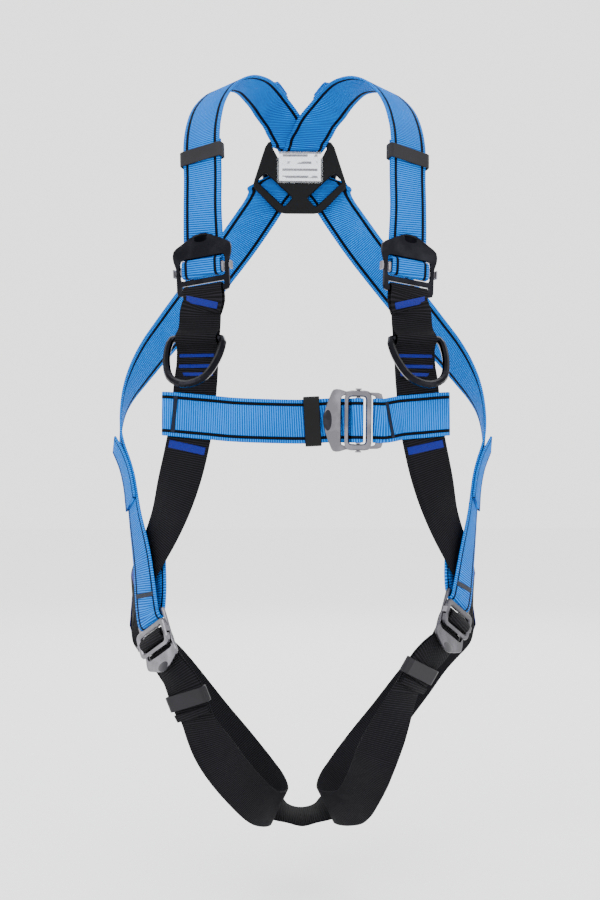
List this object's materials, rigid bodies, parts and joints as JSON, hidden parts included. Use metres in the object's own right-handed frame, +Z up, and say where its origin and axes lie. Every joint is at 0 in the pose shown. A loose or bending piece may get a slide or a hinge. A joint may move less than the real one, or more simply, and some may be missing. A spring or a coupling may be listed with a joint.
{
  "type": "full-body safety harness",
  "caption": "Full-body fall-arrest harness of webbing in its worn shape, with chest and thigh buckles, sliding strap adjusters, keepers, a back plate and swinging D-rings.",
  "frame": {"origin": "between the wearer's shoulders, level with the underside of the shoulder straps and half way between chest and back", "axes": "+Z up along the wearer, the wearer faces -Y, +X to the right of someone looking at the front"},
  "size_m": [0.4204, 0.2766, 0.8436],
  "materials": {
    "blue_webbing": "ribbed polyester webbing with dark tracer lines",
    "black_webbing": "ribbed polyester webbing",
    "black_plastic": "moulded, slightly satin",
    "grey_plastic": "moulded, satin",
    "dark_steel": "dark plated",
    "grey_steel": "zinc plated, satin",
    "silver_steel": "zinc plated, satin",
    "label_card": null,
    "clear_film": "clear pocket film"
  },
  "bodies": {
    "harness_webbing": {"shoulder_strap_left": "blue_webbing", "shoulder_adjuster_left": "dark_steel", "fall_indicator_left": "blue_webbing", "side_strap_left": "blue_webbing", "side_strap_tail_left": "blue_webbing", "torso_strap_left": "black_webbing", "thigh_strap_left": "black_webbing", "thigh_strap_tail_left": "black_webbing", "hip_buckle_left_base": "silver_steel", "shoulder_strap_right": "blue_webbing", "shoulder_adjuster_right": "dark_steel", "fall_indicator_right": "blue_webbing", "side_strap_right": "blue_webbing", "side_strap_tail_right": "blue_webbing", "torso_strap_right": "black_webbing", "thigh_strap_right": "black_webbing", "thigh_strap_tail_right": "black_webbing", "hip_buckle_right_base": "grey_steel", "chest_strap_left": "blue_webbing", "chest_strap_tail": "blue_webbing", "chest_strap_right": "blue_webbing", "chest_buckle_base": "silver_steel", "dorsal_plate": "black_plastic", "label_pocket": "clear_film", "label_card": "label_card", "sub_pelvic_strap": "black_webbing"},
    "shoulder_keeper_left": {"shoulder_keeper_left": "grey_plastic"},
    "adjuster_bar_left": {"shoulder_adjuster_bar_left": "silver_steel"},
    "front_ring_left": {"front_d_ring_left": "dark_steel"},
    "hip_link_left": {"thigh_strap_loop_left": "black_webbing", "hip_buckle_left_link": "silver_steel"},
    "thigh_keeper_left": {"thigh_keeper_left": "grey_plastic"},
    "hip_link_bar_left": {"hip_buckle_left_bar": "silver_steel"},
    "shoulder_keeper_right": {"shoulder_keeper_right": "grey_plastic"},
    "adjuster_bar_right": {"shoulder_adjuster_bar_right": "silver_steel"},
    "front_ring_right": {"front_d_ring_right": "dark_steel"},
    "hip_link_right": {"thigh_strap_loop_right": "black_webbing", "hip_buckle_right_link": "grey_steel"},
    "thigh_keeper_right": {"thigh_keeper_right": "grey_plastic"},
    "hip_link_bar_right": {"hip_buckle_right_bar": "silver_steel"},
    "chest_link": {"chest_strap_loop": "blue_webbing", "chest_buckle_link": "silver_steel"},
    "chest_keeper": {"chest_keeper": "black_plastic"},
    "chest_link_bar": {"chest_buckle_bar": "silver_steel"},
    "dorsal_ring": {"dorsal_d_ring": "dark_steel"}
  },
  "joints": [
    {"name": "front_ring_left_swing", "type": "hinge", "parent": "harness_webbing", "child": "front_ring_left", "pos_m": [-0.1123, -0.09957, -0.29514], "axis": [-0.942, 0.3354, 0.0077], "range_deg": [0, 115]},
    {"name": "adjuster_bar_left_slide", "type": "slide", "parent": "harness_webbing", "child": "adjuster_bar_left", "axis": [-0.05, 0.13, 0.9902], "range_m": [0, 0.003]},
    {"name": "shoulder_keeper_left_slide", "type": "slide", "parent": "harness_webbing", "child": "shoulder_keeper_left", "axis": [0.0353, -0.272, -0.9616], "range_m": [-0.004, 0.004]},
    {"name": "thigh_keeper_left_slide", "type": "slide", "parent": "harness_webbing", "child": "thigh_keeper_left", "axis": [-0.3694, 0.0317, 0.9287], "range_m": [-0.0025, 0.002]},
    {"name": "hip_link_left_open", "type": "hinge", "parent": "harness_webbing", "child": "hip_link_left", "pos_m": [-0.149, -0.08331, -0.62165], "axis": [0.5118, -0.7375, 0.4406], "range_deg": [0, 70]},
    {"name": "hip_link_bar_left_slide", "type": "slide", "parent": "hip_link_left", "child": "hip_link_bar_left", "axis": [0.2751, -0.3451, -0.8973], "range_m": [0, 0.002]},
    {"name": "front_ring_right_swing", "type": "hinge", "parent": "harness_webbing", "child": "front_ring_right", "pos_m": [0.1123, -0.09957, -0.29514], "axis": [-0.942, -0.3354, -0.0077], "range_deg": [0, 115]},
    {"name": "adjuster_bar_right_slide", "type": "slide", "parent": "harness_webbing", "child": "adjuster_bar_right", "axis": [0.05, 0.13, 0.9902], "range_m": [0, 0.003]},
    {"name": "shoulder_keeper_right_slide", "type": "slide", "parent": "harness_webbing", "child": "shoulder_keeper_right", "axis": [-0.0353, -0.272, -0.9616], "range_m": [-0.004, 0.004]},
    {"name": "thigh_keeper_right_slide", "type": "slide", "parent": "harness_webbing", "child": "thigh_keeper_right", "axis": [0.5012, 0.0295, 0.8648], "range_m": [-0.0025, 0.002]},
    {"name": "hip_link_right_open", "type": "hinge", "parent": "harness_webbing", "child": "hip_link_right", "pos_m": [0.149, -0.08331, -0.60305], "axis": [0.5118, 0.7375, -0.4406], "range_deg": [0, 70]},
    {"name": "hip_link_bar_right_slide", "type": "slide", "parent": "hip_link_right", "child": "hip_link_bar_right", "axis": [-0.2751, -0.3451, -0.8973], "range_m": [0, 0.002]},
    {"name": "chest_link_open", "type": "hinge", "parent": "harness_webbing", "child": "chest_link", "pos_m": [0.0343, -0.11615, -0.37987], "axis": [-0.01, 0, -0.9999], "range_deg": [0, 70]},
    {"name": "chest_link_bar_slide", "type": "slide", "parent": "chest_link", "child": "chest_link_bar", "axis": [-0.9999, 0, 0.01], "range_m": [0, 0.002]},
    {"name": "chest_keeper_slide", "type": "slide", "parent": "harness_webbing", "child": "chest_keeper", "axis": [0.9961, -0.0708, 0.0517], "range_m": [-0.004, 0.004]},
    {"name": "dorsal_ring_swing", "type": "hinge", "parent": "harness_webbing", "child": "dorsal_ring", "pos_m": [0, 0.1151, -0.071], "axis": [1, 0, 0], "range_deg": [0, 110]}
  ]
}
